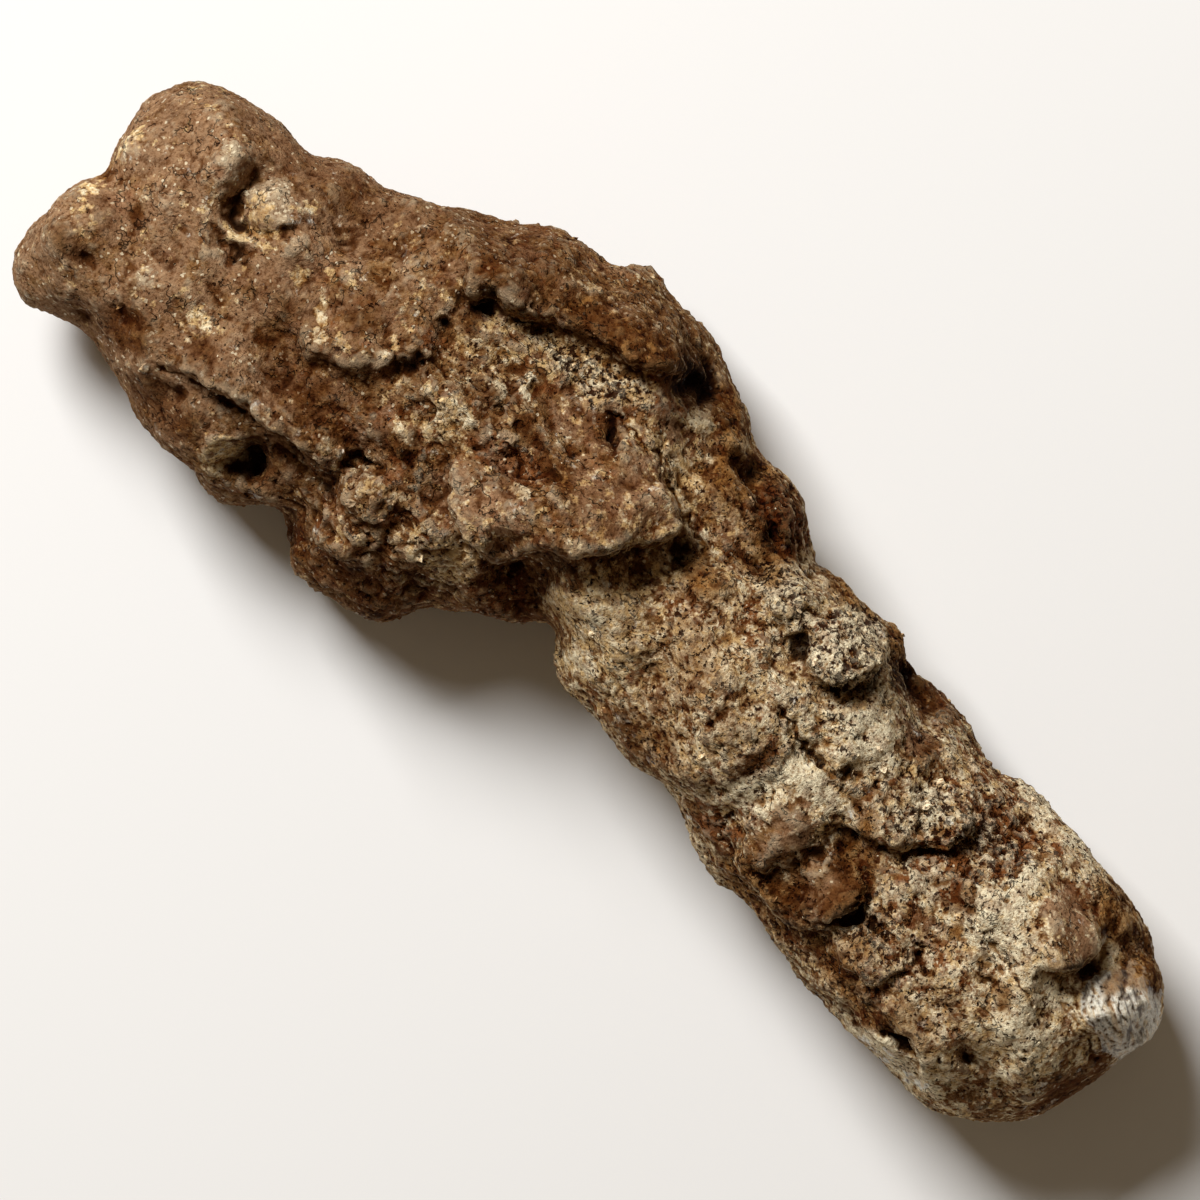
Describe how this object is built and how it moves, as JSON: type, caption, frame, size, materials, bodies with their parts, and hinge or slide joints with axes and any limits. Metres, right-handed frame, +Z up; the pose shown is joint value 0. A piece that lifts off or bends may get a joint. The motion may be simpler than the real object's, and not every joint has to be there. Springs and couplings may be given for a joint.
{
  "type": "fulgurite",
  "caption": "Rough stony tube of soil and sand fused by lightning, bent at its middle, with a broad two-lobed head and a glassy tip.",
  "frame": {"origin": "middle of the bounding box in plan, on the surface that it lies on", "axes": "+X along its length from the broad head to the glassy tip, +Y across it on the side of the middle's high bulge, +Z up from the surface"},
  "size_m": [0.1108, 0.0376, 0.0287],
  "materials": {
    "fused_soil_crust": "rough, granular and matt, with a little glass at the tip"
  },
  "bodies": {
    "root": {"fulgurite": "fused_soil_crust"}
  },
  "joints": []
}
